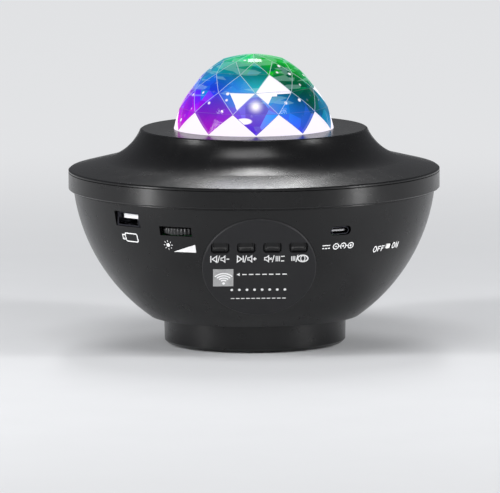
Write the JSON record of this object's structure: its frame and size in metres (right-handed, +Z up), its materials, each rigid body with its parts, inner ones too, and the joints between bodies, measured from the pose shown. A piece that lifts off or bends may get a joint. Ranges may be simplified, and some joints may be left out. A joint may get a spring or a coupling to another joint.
{
  "type": "star projector",
  "caption": "Table-top star projector: round bowl on a foot, sloped cover and a clear faceted dome over a turning ripple disc, with panel, dimmer, switch, sockets and loudspeaker.",
  "frame": {"origin": "centre of the four rubber feet on the table", "axes": "+Z up; the control panel and the sockets face -Y; +X is the right side seen from the front"},
  "size_m": [0.168, 0.168, 0.1315],
  "materials": {
    "housing_abs": "satin black moulded ABS",
    "panel_abs": "matte dark grey moulded ABS",
    "button_abs": "matte dark grey moulded ABS",
    "dome_clear": "clear polished polycarbonate",
    "lens_clear": "clear moulded acrylic",
    "ir_plastic": "pale translucent moulded plastic",
    "socket_steel": "bright folded steel",
    "tongue_white": "white moulded plastic",
    "socket_black": "black moulded plastic",
    "wheel_abs": "ribbed black moulded ABS",
    "knob_white": "white moulded plastic",
    "foot_rubber": "matt black rubber",
    "basket_steel": "black painted pressed steel",
    "magnet_ferrite": "dark grey ferrite and plated steel",
    "cone_paper": "black pressed paper",
    "surround_rubber": "soft black rubber and foam",
    "circuit_board": "green lacquered glass-fibre board",
    "component_body": "black moulded epoxy",
    "screw_steel": "zinc plated steel",
    "sink_aluminium": "plain extruded aluminium",
    "led_board_white": "white lacquered aluminium core board",
    "led_package": "white package with a yellow lens",
    "deck_abs": "matt black moulded ABS",
    "brass": "turned brass",
    "acetal": "white moulded acetal",
    "post_abs": "black turned plastic",
    "motor_steel": "plated steel can"
  },
  "bodies": {
    "root": {"base_cover": "housing_abs", "bowl_shell": "housing_abs", "trim_band": "housing_abs", "top_cover": "housing_abs", "control_panel": "panel_abs", "dome": "dome_clear", "led_lenses": "lens_clear", "laser_grating": "lens_clear", "ir_window": "ir_plastic", "usb_a_shell": "socket_steel", "usb_c_shell": "socket_steel", "usb_a_tongue": "tongue_white", "usb_c_tongue": "socket_black", "usb_a_riser": "socket_black", "key_switches": "socket_black", "ir_receiver": "socket_black", "power_switch_body": "socket_black", "dimmer_pot": "socket_black", "rubber_feet": "foot_rubber", "speaker_frame": "basket_steel", "speaker_magnet": "magnet_ferrite", "speaker_surround": "surround_rubber", "speaker_gasket": "surround_rubber", "main_board": "circuit_board", "button_board": "circuit_board", "switch_card": "circuit_board", "board_components": "component_body", "base_screws": "screw_steel", "speaker_screws": "screw_steel", "button_board_screws": "screw_steel", "board_screws": "screw_steel", "switch_card_screws": "screw_steel", "clamp_screws": "screw_steel", "deck_screws": "screw_steel", "sink_screws": "screw_steel", "motor_screws": "screw_steel", "heat_sink": "sink_aluminium", "led_board": "led_board_white", "leds": "led_package", "light_deck": "deck_abs", "clamp_ring": "deck_abs", "laser_module": "brass", "spindle_post": "post_abs", "lens_cap": "post_abs", "drive_motor": "motor_steel"},
    "ripple_rotor": {"ripple_disc": "lens_clear", "ripple_gear": "acetal", "disc_bush": "brass"},
    "motor_rotor": {"motor_shaft": "screw_steel", "motor_pinion": "acetal"},
    "cone": {"speaker_cone": "cone_paper"},
    "volume_down": {"volume_down_button": "button_abs"},
    "volume_up": {"volume_up_button": "button_abs"},
    "mute": {"mute_button": "button_abs"},
    "lamp_mode": {"lamp_mode_button": "button_abs"},
    "dimmer": {"dimmer_wheel": "wheel_abs"},
    "power_knob": {"power_slider": "knob_white"}
  },
  "joints": [
    {"name": "ripple_turn", "type": "hinge", "parent": "root", "child": "ripple_rotor", "pos_m": [0, 0, 0.0915], "axis": [0, 0, 1], "continuous": true},
    {"name": "motor_turn", "type": "hinge", "parent": "root", "child": "motor_rotor", "pos_m": [0, 0.0324, 0.0885], "axis": [0, 0, 1], "continuous": true},
    {"name": "cone_move", "type": "slide", "parent": "root", "child": "cone", "axis": [0, 0, 1], "range_m": [-0.0005, 0.0005], "stiffness_N_per_m": 600, "deforming": ["speaker_surround"]},
    {"name": "volume_down_press", "type": "slide", "parent": "root", "child": "volume_down", "axis": [0, 0.8988, 0.4384], "range_m": [0, 0.0005], "stiffness_N_per_m": 800, "springref_m": -0.0005},
    {"name": "volume_up_press", "type": "slide", "parent": "root", "child": "volume_up", "axis": [0, 0.8988, 0.4384], "range_m": [0, 0.0005], "stiffness_N_per_m": 800, "springref_m": -0.0005},
    {"name": "mute_press", "type": "slide", "parent": "root", "child": "mute", "axis": [0, 0.8988, 0.4384], "range_m": [0, 0.0005], "stiffness_N_per_m": 800, "springref_m": -0.0005},
    {"name": "lamp_mode_press", "type": "slide", "parent": "root", "child": "lamp_mode", "axis": [0, 0.8988, 0.4384], "range_m": [0, 0.0005], "stiffness_N_per_m": 800, "springref_m": -0.0005},
    {"name": "dimmer_turn", "type": "hinge", "parent": "root", "child": "dimmer", "pos_m": [-0.03287, -0.06157, 0.0594], "axis": [0, 0, 1], "range_deg": [-135, 135]},
    {"name": "power_slide", "type": "slide", "parent": "root", "child": "power_knob", "axis": [0.6361, 0.7716, 0], "range_m": [0, 0.002]}
  ],
  "couplings": [
    {"joint": "motor_turn", "follows": "ripple_turn", "ratio": -5}
  ]
}
